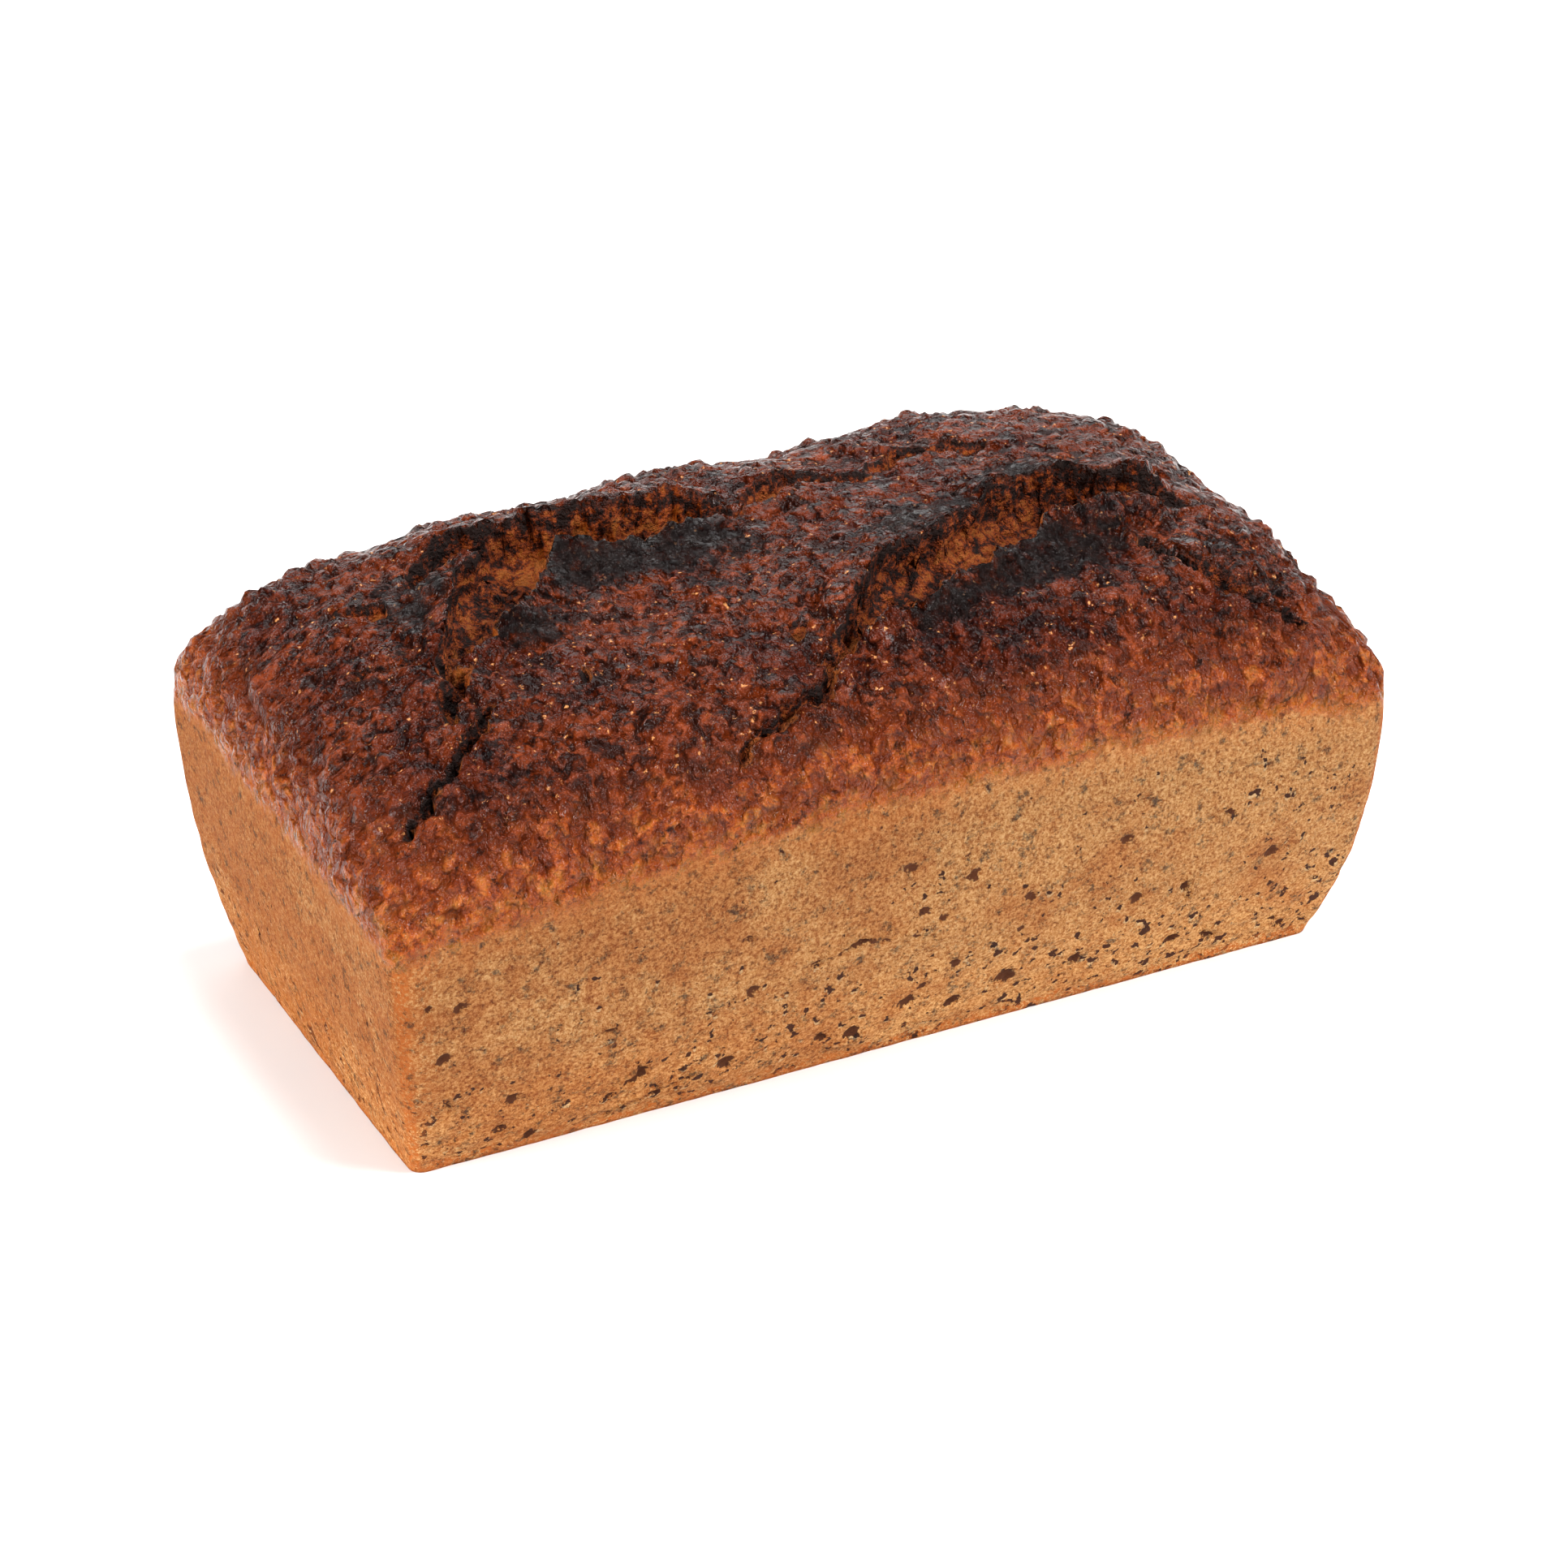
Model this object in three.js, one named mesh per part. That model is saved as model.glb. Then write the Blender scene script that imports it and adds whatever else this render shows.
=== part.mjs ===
// A tin loaf: bread baked as one piece in a rectangular loaf tin.
//
// Units are millimetres and +Z is up. The origin is the middle of the base, X runs along the loaf
// and Y across it. The loaf is one closed body. A finely divided box is moved onto the loaf's
// surface: its sides become the walls that the flared tin pressed smooth, its underside the flat
// base, and its top the crown that rose above the tin and burst open in three long splits.

import * as THREE from "three";

// Length and width of the loaf at its widest, level with the tin's rim, and of its flat base.
const LENGTH = 230;
const WIDTH = 129;
const BASE_LENGTH = 215;
const BASE_WIDTH = 98;

// Height of the tin line, where the walls end and the crown starts, and the crown's rise above it.
const TIN_LINE = 62;
const CROWN = 36;

// The tin line runs a little higher midway along the sides and ends than at the four corners.
const SIDE_LIFT = 7.6;
const END_LIFT = 0.9;

// The dough stood a little higher in the +X and +Y corner: the share of the tin line that it gains.
const LEAN_ALONG = 0.031;
const LEAN_ACROSS = 0.037;

// How the walls curve out from the base to the rim: 1 is a straight flare.
const FLARE = 2.1;

// Radius of the upright corners at the base and at the tin line.
const BASE_CORNER = 3.5;
const RIM_CORNER = 5.8;

// How square the crown's shoulders are along and across the loaf, and how full it is.
const SHOULDER_ALONG = 5.8;
const SHOULDER_ACROSS = 2;
const FULLNESS = 2.75;

// The splits. Each route point is [x, y, half of the opening's width, depth].
const SPLITS = [
  {
    name: "back",
    route: [[-74, 24, 2, 1], [-58, 27, 7, 6], [-40, 23, 11, 9], [-24, 20, 10, 9], [-4, 16, 2, 2]],
  },
  {
    name: "left",
    route: [[-55, 20, 8, 7], [-66, 3, 8, 7], [-80, -11, 7, 5], [-87, -30, 3, 3], [-97, -45, 1, 1]],
  },
  {
    name: "front",
    route: [[84, -16, 4, 3], [68, -8, 11, 9], [50, -9, 11, 9], [25, -23, 9, 6], [6, -33, 8, 6],
      [-8, -45, 4, 5], [-26, -53, 2, 2]],
  },
];

// How finely the box is divided along, across and up the loaf, and how much its rows crowd
// towards the edges: the spacing at an edge as a share of an even spacing.
const STEPS_ALONG = 46;
const STEPS_ACROSS = 26;
const STEPS_UP = 7;
const EDGE_SPACING = 0.15;
const EDGE_POWER = 7;

const clamp = THREE.MathUtils.clamp;
const lerp = THREE.MathUtils.lerp;

// Moves the rows of an even spacing from -1 to 1 towards both ends, for a crisp edge.
function crowd(t) {
  const pull = (1 - EDGE_SPACING) / (EDGE_POWER - 1);
  return (1 + pull) * t - pull * t ** EDGE_POWER;
}

// Height of the tin line above the base, where u and v run from -1 to 1 along and across.
function tinLine(u, v) {
  const lean = 1 + LEAN_ALONG * u + LEAN_ACROSS * v;
  const sideLift = SIDE_LIFT * (1 - u ** 2) * v ** 2;
  const endLift = END_LIFT * (1 - v ** 2) * u ** 2;
  return TIN_LINE * lean + sideLift + endLift;
}

// Rise of the crown above the tin line: full in the middle, and nothing at the edges.
function crownRise(u, v) {
  const along = 1 - Math.abs(u) ** SHOULDER_ALONG;
  const across = 1 - Math.abs(v) ** SHOULDER_ACROSS;
  return CROWN * Math.max(along * across, 0) ** (1 / FULLNESS);
}

// Half of the loaf's size at a share of the tin line's height, from the base's to the rim's.
function flare(base, rim, share) {
  return (rim - (rim - base) * clamp(1 - share, 0, 1) ** FLARE) / 2;
}

// Turns the square corners of a rectangle into arcs, and leaves its straight sides alone.
function roundCorner(x, y, halfLength, halfWidth, radius) {
  const cx = clamp(x, radius - halfLength, halfLength - radius);
  const cy = clamp(y, radius - halfWidth, halfWidth - radius);
  const dx = x - cx;
  const dy = y - cy;
  const reach = Math.hypot(dx, dy);
  const scale = reach > 0 ? Math.max(Math.abs(dx), Math.abs(dy)) / reach : 0;
  return [cx + dx * scale, cy + dy * scale];
}

// Depth of one stretch of a split at a point: deepest on its line, nothing at its lips.
function stretchDepth(x, y, from, to) {
  const [x0, y0, half0, depth0] = from;
  const [x1, y1, half1, depth1] = to;
  const lengthSquared = (x1 - x0) ** 2 + (y1 - y0) ** 2;
  const along = clamp(((x - x0) * (x1 - x0) + (y - y0) * (y1 - y0)) / lengthSquared, 0, 1);
  const off = Math.hypot(x - lerp(x0, x1, along), y - lerp(y0, y1, along));
  const inside = clamp(1 - off / lerp(half0, half1, along), 0, 1);
  return lerp(depth0, depth1, along) * Math.sin((inside * Math.PI) / 2);
}

// Depth of the splits at a point of the top crust.
function splitDepth(x, y) {
  let depth = 0;
  for (const { route } of SPLITS) {
    for (let i = 1; i < route.length; i += 1) {
      depth = Math.max(depth, stretchDepth(x, y, route[i - 1], route[i]));
    }
  }
  return depth;
}

// Moves one point of a box, 2 x 2 and 1 high, onto the surface of the loaf.
function moveOntoLoaf(point) {
  const u = crowd(point.x);
  const v = crowd(point.y);
  const onTop = point.z > 0.999;
  const rim = tinLine(u, v);
  const share = (point.z * rim) / TIN_LINE;
  const halfLength = flare(BASE_LENGTH, LENGTH, share);
  const halfWidth = flare(BASE_WIDTH, WIDTH, share);
  const radius = lerp(BASE_CORNER, RIM_CORNER, clamp(share, 0, 1));
  const [x, y] = roundCorner(u * halfLength, v * halfWidth, halfLength, halfWidth, radius);
  const z = onTop ? rim + crownRise(u, v) - splitDepth(x, y) : point.z * rim;
  point.set(x, y, z);
}

function makeLoaf() {
  const geometry = new THREE.BoxGeometry(2, 2, 1, STEPS_ALONG, STEPS_ACROSS, STEPS_UP);
  geometry.translate(0, 0, 0.5);
  const positions = geometry.getAttribute("position");
  const point = new THREE.Vector3();
  for (let i = 0; i < positions.count; i += 1) {
    point.fromBufferAttribute(positions, i);
    moveOntoLoaf(point);
    positions.setXYZ(i, point.x, point.y, point.z);
  }
  geometry.computeVertexNormals();
  const crust = new THREE.MeshStandardMaterial({ color: 0x7a4426, roughness: 0.6, metalness: 0 });
  const loaf = new THREE.Mesh(geometry, crust);
  loaf.name = "loaf";
  return loaf;
}

const tinLoaf = new THREE.Group();
tinLoaf.add(makeLoaf());

export default tinLoaf;
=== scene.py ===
"""A tin loaf: a dark wholegrain loaf with a burst top crust, standing on a pale studio floor.

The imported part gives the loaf's length and width. The loaf is one closed surface, worked out with
numpy: rings around its walls and shoulders, and a grid over the middle of its crown. Lengths in the
shape functions are millimetres, and the finished mesh is in metres.
"""

import math

import bpy
import numpy as np
from mathutils import Matrix, Vector


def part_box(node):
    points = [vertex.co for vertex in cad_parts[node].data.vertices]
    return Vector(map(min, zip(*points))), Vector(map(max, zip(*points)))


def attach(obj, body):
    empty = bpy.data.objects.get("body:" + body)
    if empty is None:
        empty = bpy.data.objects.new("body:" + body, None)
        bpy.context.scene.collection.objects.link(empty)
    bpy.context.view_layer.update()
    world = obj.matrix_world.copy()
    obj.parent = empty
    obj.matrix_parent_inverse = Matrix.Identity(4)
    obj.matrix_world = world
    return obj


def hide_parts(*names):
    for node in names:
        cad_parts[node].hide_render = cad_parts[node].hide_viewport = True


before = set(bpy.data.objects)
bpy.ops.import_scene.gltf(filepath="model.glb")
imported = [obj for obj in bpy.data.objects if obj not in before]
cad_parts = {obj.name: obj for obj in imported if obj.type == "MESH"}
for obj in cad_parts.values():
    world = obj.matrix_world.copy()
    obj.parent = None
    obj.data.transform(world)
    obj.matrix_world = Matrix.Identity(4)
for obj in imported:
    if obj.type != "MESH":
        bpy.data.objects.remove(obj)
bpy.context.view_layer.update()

bl_info = {
    "name": "Tin Loaf",
    "version": (1, 0, 0),
    "blender": (4, 5, 0),
    "location": "View3D > Sidebar > Tin Loaf",
    "description": "Makes a tin loaf with a burst crust, and a pale studio around it",
    "category": "Object",
}

NODE = "loaf"
BODY = "root"
LOAF_LOW, LOAF_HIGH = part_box(NODE)
MM = 0.001

# How the dough filled the tin, in millimetres. The tin line is where the walls end and the crown
# starts. It lifts midway along each side, and leans up, by a share, to the right and to the back.
TIN_LINE = 62
SIDE_LIFT = 7.6
END_LIFT = 0.9
LEAN_ALONG = 0.031
LEAN_ACROSS = 0.037
CROWN = 36

# The powers of the curves that the walls flare out by and the crown rises by. Higher ones make a
# crown that is flatter in the middle and steeper at its edge.
FLARE = 2.1
SHOULDER_ALONG = 5.8
SHOULDER_ACROSS = 2
FULLNESS = 2.75

# Radii of the upright corners, at the base and at the tin line.
BASE_CORNER = 3.5
RIM_CORNER = 5.8

# How finely the surface is divided: along and across the loaf, up its walls, and over the shoulder,
# which is the outer part of the crown down to this share of its width. Each cell of the base is as
# wide as so many steps, and the base's grid keeps to this share of its width.
STEPS_ALONG = 240
STEPS_ACROSS = 132
STEPS_UP = 62
STEPS_SHOULDER = 21
SHOULDER_END = 0.93
BASE_COARSER = 4
BASE_INSET = 0.96

# Noise that shapes the crust: the height and size of each layer, in millimetres.
SWELLINGS = [(1.4, 46), (1.3, 17)]
LIP_WANDER = [(1.8, 12), (1.3, 5), (0.9, 2.4)]

# Round knobs on the crust: the spacing and radius of each kind, in millimetres, and its height's
# share of the knob height.
KNOBS = (4.6, 3.0, 1.0)
SMALL_KNOBS = (3.2, 2.1, 0.6)
GRIT = (2.3, 1.5, 0.3)

# Coordinates are scaled by these, so that the larger knobs are drawn out down the shoulders.
HANGING = (1, 0.9, 0.8)

# Depth of the creases between knobs, in millimetres.
CREASE_DEPTH = 0.8

# A split, in millimetres: the depth from which it counts as deep, the widths of its front wall and
# its back wall, how far off the crust starts to rise towards it, and how far its front lip and its
# back lip lean over it.
DEEP_SPLIT = 8
WALL_WIDTHS = (2.2, 4.6)
LIP_REACH = 6
LIP_LEANS = (0.2, 1.9)

# Torn crumb, in millimetres: how far it is moved about, and the depth of its pits.
CRUMB_ROUGHNESS = 1.5
CRUMB_PIT_DEPTH = 3.4

# The walls' marks, in millimetres.
PORE_DEPTH = 0.9
TEAR_DEPTH = 1.1
TEAR_LIP = 0.5
LOWER_EDGE_LOSS = 0.7

# What a point reads that is outside every split, and outside every pore.
FAR_OUTSIDE = -99.0
NO_PORE = -2

# The splits in the top crust. Each route point is [x, y, half of the opening's width, depth].
SPLITS = [
    # the long one over the back left, and its shallow tail along the back
    [[-75, 21, 2, 3], [-63, 27, 6, 7], [-50, 26, 9, 9], [-40, 23, 9.5, 10], [-30, 19, 10, 10],
     [-18, 19, 9, 9], [-9, 18, 5, 6], [-2, 16, 2, 3]],
    [[3, 19, 2.5, 2.5], [12, 24, 4.5, 4], [22, 23, 4.5, 4], [31, 19, 2.5, 2]],
    [[36, 22, 2.5, 2], [45, 25, 4.5, 4], [54, 25, 3.5, 3], [61, 22, 2, 2]],
    # the one down the left, which narrows to a crack at the near corner
    [[-52, 18, 8, 7], [-60, 8, 10, 7], [-68, -2, 8, 6.5], [-76, -10, 5, 6], [-82, -15, 2.5, 5]],
    [[-81, -19, 2.4, 6], [-85, -25, 2.8, 6], [-88, -31, 1.6, 5]],
    [[-78, -31, 1.4, 4], [-84, -35, 2.2, 6], [-89, -39, 2.0, 5]],
    [[-91, -41, 1.2, 4], [-98, -46, 1.1, 4], [-105, -50, 0.9, 3]],
    # the one from the right-hand hollow down to the middle of the near side
    [[88, -18, 2.5, 4], [78, -13, 6, 8], [67, -10, 9, 10], [56, -9, 10, 10], [47, -14, 9, 8],
     [36, -20, 9.5, 7], [25, -23, 9.5, 6.5], [15, -28, 8.5, 7], [7, -33, 7, 9], [1, -37, 4.5, 7],
     [-3, -40, 2.2, 4]],
    [[-2, -41, 1.6, 5], [-9, -43, 2.0, 6], [-13, -44, 1.4, 4]],
    [[-10, -46, 1.6, 5], [-13, -50, 1.9, 6], [-19, -53, 1.4, 5], [-27, -56, 1.3, 4], [-38, -59, 1.0, 3]],
    [[-57, -26, 0.9, 3], [-59, -32, 1.1, 4]],
    # the short one at the right-hand end
    [[72, -30, 1.6, 4], [75, -37, 2.8, 7], [80, -42, 2.2, 5], [84, -47, 2.8, 7], [89, -51, 1.6, 4],
     [96, -55, 2.0, 5]],
    # small holes
    [[44, 3, 1.6, 4], [48, 5, 1.6, 4]],
    [[-96, -4, 1.2, 3], [-90, -8, 1.6, 4], [-86, -9, 1.0, 2.5]],
    [[-90, 20, 1.8, 2.5], [-84, 14, 2.4, 3]],
    [[-12, -34, 1.3, 3], [-8, -32, 1.0, 2]],
]

# Where the crust caught most heat and charred: [x, y, radius, strength].
CHARRED = [
    [-50, 5, 8, 0.9], [-43, 10, 7, 1], [-36, 7, 7, 0.9], [-28, 6, 7, 0.8], [-19, 7, 8, 0.9],
    [-11, 8, 7, 0.7], [-5, 2, 6, 0.4], [-64, -14, 6, 0.7], [-58, -11, 7, 0.6],
    [-75, 17, 8, 0.8], [-80, 8, 6, 0.7],
    [-86, -3, 5, 0.5], [30, -4, 7, 0.8], [22, -9, 5, 0.6], [40, -2, 6, 0.7], [15, -14, 4, 0.5],
    [14, -41, 4, 0.7], [22, -39, 6, 0.9], [33, -36, 6, 0.8], [44, -33, 8, 0.7], [54, -29, 8, 0.9],
    [66, -28, 7, 0.7], [60, 6, 7, 0.9], [71, 3, 6, 0.7], [-82, -47, 8, 0.3],
    [88, -38, 8, 0.55], [94, -47, 5, 0.5], [78, -56, 4, 0.45], [-20, -10, 9, 0.45],
]

# Tears in the near wall, where the dough dragged on the tin. Each point is [x, z, half width, depth].
TEARS = [
    [[-25, 33.5, 0.2, 0.8], [-17, 34, 0.5, 1.2], [-12, 36, 0.9, 2], [-7, 35, 0.4, 1.2], [2, 33.5, 0.1, 0.8],
     [8, 30.5, 0.2, 0.8]],
    [[-72, 29, 0.4, 0.8], [-67, 29.5, 0.8, 1.2]],
    [[-63, 5, 0.4, 0.8], [-54, 7.5, 0.6, 1.2], [-45, 10, 0.4, 0.8]],
    [[67, 28, 1.0, 1.4], [69, 24, 0.5, 1]],
    [[76, 10, 0.9, 1.2], [80, 8, 0.5, 1]],
    [[-103, 22, 0.6, 1.2], [-102, 18, 0.5, 1.2]],
    [[-62, 13, 1.2, 1.2], [-59, 15, 1.4, 1.6], [-60, 18, 0.5, 1]],
]

# The larger pores in the near wall: [x, z, radius].
NEAR_PORES = [
    [-101, 45.5, 1.3], [-108, 47.7, 0.9], [-104.5, 33.5, 1.4], [-38, 44, 0.9], [13, 46, 1.4], [12, 51, 0.8],
    [-2, 52, 1.0], [2.4, 40, 1.2], [7, 37, 0.8], [27.7, 36.6, 1.2], [-36, 30, 1.4], [27, 28, 0.9],
    [12, 22, 1.2], [-8.6, 21, 0.8], [5.5, 18, 0.8], [2, 14, 1.7], [14, 10, 1.7], [26, 14, 1.8],
    [-10, 9, 1.4], [43, 14, 1.5], [54.6, 28, 1.3], [88, 31, 1.3], [75, 45, 1.0], [50.4, 45, 1.2],
    [68, 11, 1.3], [97, 6, 1.0], [-88.6, 17.7, 1.2], [-80, 17.4, 0.8], [-90, 8, 1.2], [-66, 10, 1.0],
    [-40, 11, 1.5], [-17, 9.6, 1.4],
]

# Colours that aren't settings, and tints, which multiply the colour under them.
# Painted shade: the walls' holes and pores are painted dark brown for the shade inside them.
SHADED_HOLE_COLOUR = (0.07, 0.018, 0.005)
SHADED_PORE_COLOUR = (0.08, 0.023, 0.007)
# Painted shade for the top crust's hollows between knobs: black and deep red.
SHADED_HOLLOW_BLACK = (0.01, 0.0025, 0.0015)
SHADED_HOLLOW_RED = (0.06, 0.0085, 0.0015)
# Painted light: the torn crumb at a split's front lip is painted brighter where light falls on it.
LIT_TORN_EDGE_COLOUR = (0.24, 0.06, 0.01)
MOTTLE_TINT = (0.72, 0.56, 0.42)
PIT_TINT = (0.42, 0.27, 0.16)
DUSK_TINT = (0.42, 0.36, 0.55)
SCORCH_TINT = (0.26, 0.3, 0.42)
FLOOR_SHADE = 0.985

# Painted light: the walls are painted lighter at the base, where light bounced off the floor falls, and darker
# higher up. These are tints at shares of a height in millimetres.
PAINTED_LIGHT_HEIGHT = 70.0
PAINTED_WALL_LIGHT = [(0.0, (1, 1, 1)), (0.4, (0.64, 0.64, 0.66)), (0.9, (0.53, 0.53, 0.55))]

# How the surfaces shine. The top crust is smoother in some patches than in others.
CROWN_ROUGHNESSES = (0.1, 0.27)
CHAR_ROUGHNESS = 0.13
DRY_ROUGHNESS = 0.8
CRUST_IOR = 1.45
CRUST_SPECULAR = 0.19
FLOOR_ROUGHNESS = 0.8
FLOOR_BUMP = 0.02

# The studio's lamps, in metres: name, the setting of its power, the side of its square, its place,
# and whether it is seen reflected. They all face the middle of the loaf.
LAMPS = [
    ("key_light", "key_power", 0.4, (0.15, 0.05, 1.3), True),
    ("side_light", "side_power", 0.8, (-1.2, -0.1, 0.5), False),
    ("front_light", "front_power", 1.0, (0.1, -1.4, 0.25), False),
    ("spark_light", "spark_power", 0.4, (0.5, -0.85, 0.85), True),
    ("back_light", "back_power", 1.0, (0.5, 1.0, 0.6), True),
]
LAMP_AIM = (0, 0, 0.05)
SENSOR_WIDTH = 36
WHITE = (1, 1, 1, 1)

CORNERS = [(a, b, c) for a in (0, 1) for b in (0, 1) for c in (0, 1)]
NEIGHBOURS = [(a, b, c) for a in (-1, 0, 1) for b in (-1, 0, 1) for c in (-1, 0, 1)]

# Large odd numbers that scatter a grid cell's three whole numbers and a seed.
CELL_FACTORS = (73856093, 19349663, 83492791)
SEED_FACTOR = 2654435761
MIX_FACTORS = (2246822519, 3266489917)
LARGEST = 4294967295

# How many draws' seeds lie between one pattern's seed and the next.
NOISE_SEEDS = 7
SCATTER_SEEDS = 11

# Brings a blend of slopes to about -1 to 1.
NOISE_GAIN = 1.6

# Keeps a division from dividing by nothing.
TINY = 1e-9


# ---- numbers and noise ----------------------------------------------------------------------


def lerp(a, b, t):
    """The value at a share t of the way from a to b."""
    return a + (b - a) * t


def smooth(low, high, value):
    """0 below low, 1 above high, and an S-curve between them; the other way round if high is lower."""
    t = np.clip((value - low) / (high - low), 0, 1)
    return t * t * (3 - 2 * t)


def draw(cell, seed):
    """One repeatable number from 0 to 1 for each cell: its three whole numbers are multiplied by
    large odd numbers, and the products are mixed bit by bit."""
    mixed = np.full(len(cell), seed * SEED_FACTOR & LARGEST, np.uint32)
    for whole, factor in zip(cell.astype(np.int64).astype(np.uint32).T, CELL_FACTORS):
        mixed = mixed ^ whole * np.uint32(factor)
    for factor, shift in zip(MIX_FACTORS, (15, 13)):
        mixed = (mixed ^ (mixed >> shift)) * np.uint32(factor)
    return (mixed ^ (mixed >> 16)) / LARGEST


def noise(points, size, seed):
    """Smooth noise from about -1 to 1: each corner of a grid of that size has a slope of its own,
    and a point blends the eight slopes around it."""
    scaled = points / size
    cell = np.floor(scaled)
    part = scaled - cell
    ease = part**3 * (part * (part * 6 - 15) + 10)
    total = np.zeros(len(points))
    for corner in CORNERS:
        step = np.array(corner)
        home = cell + step
        slope = np.stack([draw(home, seed * NOISE_SEEDS + axis) * 2 - 1 for axis in range(3)], axis=1)
        weight = np.prod(np.where(step, ease, 1 - ease), axis=1)
        total += weight * np.sum(slope * (part - step), axis=1)
    return total * NOISE_GAIN


def layered(points, layers, seed):
    """The sum of some layers of noise, each of a height and a size."""
    return sum(height * noise(points, size, seed + k) for k, (height, size) in enumerate(layers))


def scatter(points, size, seed):
    """Distance to the nearest of the seeds that are scattered one to each cell of a grid, and that
    seed's own number from 0 to 1."""
    scaled = points / size
    cell = np.floor(scaled)
    nearest = np.full(len(points), np.inf)
    number = np.zeros(len(points))
    for step in NEIGHBOURS:
        home = cell + np.array(step)
        place = np.stack([draw(home, seed * SCATTER_SEEDS + axis) for axis in range(3)], axis=1)
        away = np.linalg.norm(scaled - home - place, axis=1)
        nearer = away < nearest
        nearest = np.where(nearer, away, nearest)
        number = np.where(nearer, draw(home, seed * SCATTER_SEEDS + 3), number)
    return nearest * size, number


# ---- the loaf's surface ---------------------------------------------------------------------


def tin_line(u, v):
    """Height of the tin line, where u and v run from -1 to 1 along and across the loaf."""
    lean = 1 + LEAN_ALONG * u + LEAN_ACROSS * v
    return TIN_LINE * lean + SIDE_LIFT * (1 - u**2) * v**2 + END_LIFT * (1 - v**2) * u**2


def crown_rise(u, v):
    """Rise of the crown above the tin line: a product of two flat-topped arches, rooted for fullness."""
    arch = (1 - np.abs(u) ** SHOULDER_ALONG) * (1 - np.abs(v) ** SHOULDER_ACROSS)
    return CROWN * np.maximum(arch, 0) ** (1 / FULLNESS)


def flare(base, rim, share):
    """Half of the loaf's size at a share of the tin line's height, curving out from base to rim."""
    return (rim - (rim - base) * np.clip(1 - share, 0, 1) ** FLARE) / 2


def smooth_loaf(u, v, level, look):
    """The loaf with nothing on its crust, in millimetres. level runs from 0 at the base to 1 at the
    tin line and on the crown. The upright corners are arcs: the part of a point that lies past the
    corner's centre is turned from a square into a circle."""
    rim = tin_line(u, v)
    share = level * rim / TIN_LINE
    half_x = flare(look.base_length / MM, look.length / MM, share)
    half_y = flare(look.base_width / MM, look.width / MM, share)
    radius = lerp(BASE_CORNER, RIM_CORNER, np.clip(share, 0, 1))
    x, y = u * half_x, v * half_y
    centre_x = np.clip(x, radius - half_x, half_x - radius)
    centre_y = np.clip(y, radius - half_y, half_y - radius)
    dx, dy = x - centre_x, y - centre_y
    scale = np.maximum(np.abs(dx), np.abs(dy)) / np.maximum(np.hypot(dx, dy), TINY)
    corner = np.minimum(np.abs(dx), np.abs(dy)) / radius
    z = np.where(level >= 1, rim + crown_rise(u, v), level * rim)
    return np.stack([centre_x + dx * scale, centre_y + dy * scale, z], axis=1), corner, z - rim


def ring(along, across):
    """u and v once round the edge of the box, from the near left corner."""
    ones_x, ones_y = np.ones(len(along) - 1), np.ones(len(across) - 1)
    u = np.concatenate([along[:-1], ones_y, along[:0:-1], -ones_y])
    v = np.concatenate([-ones_x, across[:-1], ones_x, across[:0:-1]])
    return u, v


def grid_index(border, inside, nx, ny):
    """Vertex numbers of a grid whose border is a ring that is already there."""
    index = np.empty((nx + 1, ny + 1), int)
    index[1:-1, 1:-1] = inside.reshape(nx - 1, ny - 1)
    index[:-1, 0] = border[:nx]
    index[-1, :-1] = border[nx : nx + ny]
    index[:0:-1, -1] = border[nx + ny : 2 * nx + ny]
    index[0, :0:-1] = border[2 * nx + ny :]
    return index


def quads_of(index):
    """The four corners of each cell of a grid of vertex numbers, facing up."""
    corners = [index[:-1, :-1], index[1:, :-1], index[1:, 1:], index[:-1, 1:]]
    return np.stack(corners, axis=2).reshape(-1, 4)


def belt_between(inner, outer):
    """Triangles between a coarse ring and a finer one around it. Each row of outer starts level with
    its point of inner; the row's first half fans out from that point, and the rest from the next."""
    following = np.roll(inner, -1)
    outer = np.column_stack([outer, np.roll(outer[:, 0], -1)])
    half = BASE_COARSER // 2
    triangles = [(inner, outer[:, k + 1], outer[:, k]) for k in range(half)]
    triangles.append((inner, following, outer[:, half]))
    triangles += [(following, outer[:, k + 1], outer[:, k]) for k in range(half, BASE_COARSER)]
    return np.concatenate([np.stack(corners, axis=1) for corners in triangles])


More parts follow.
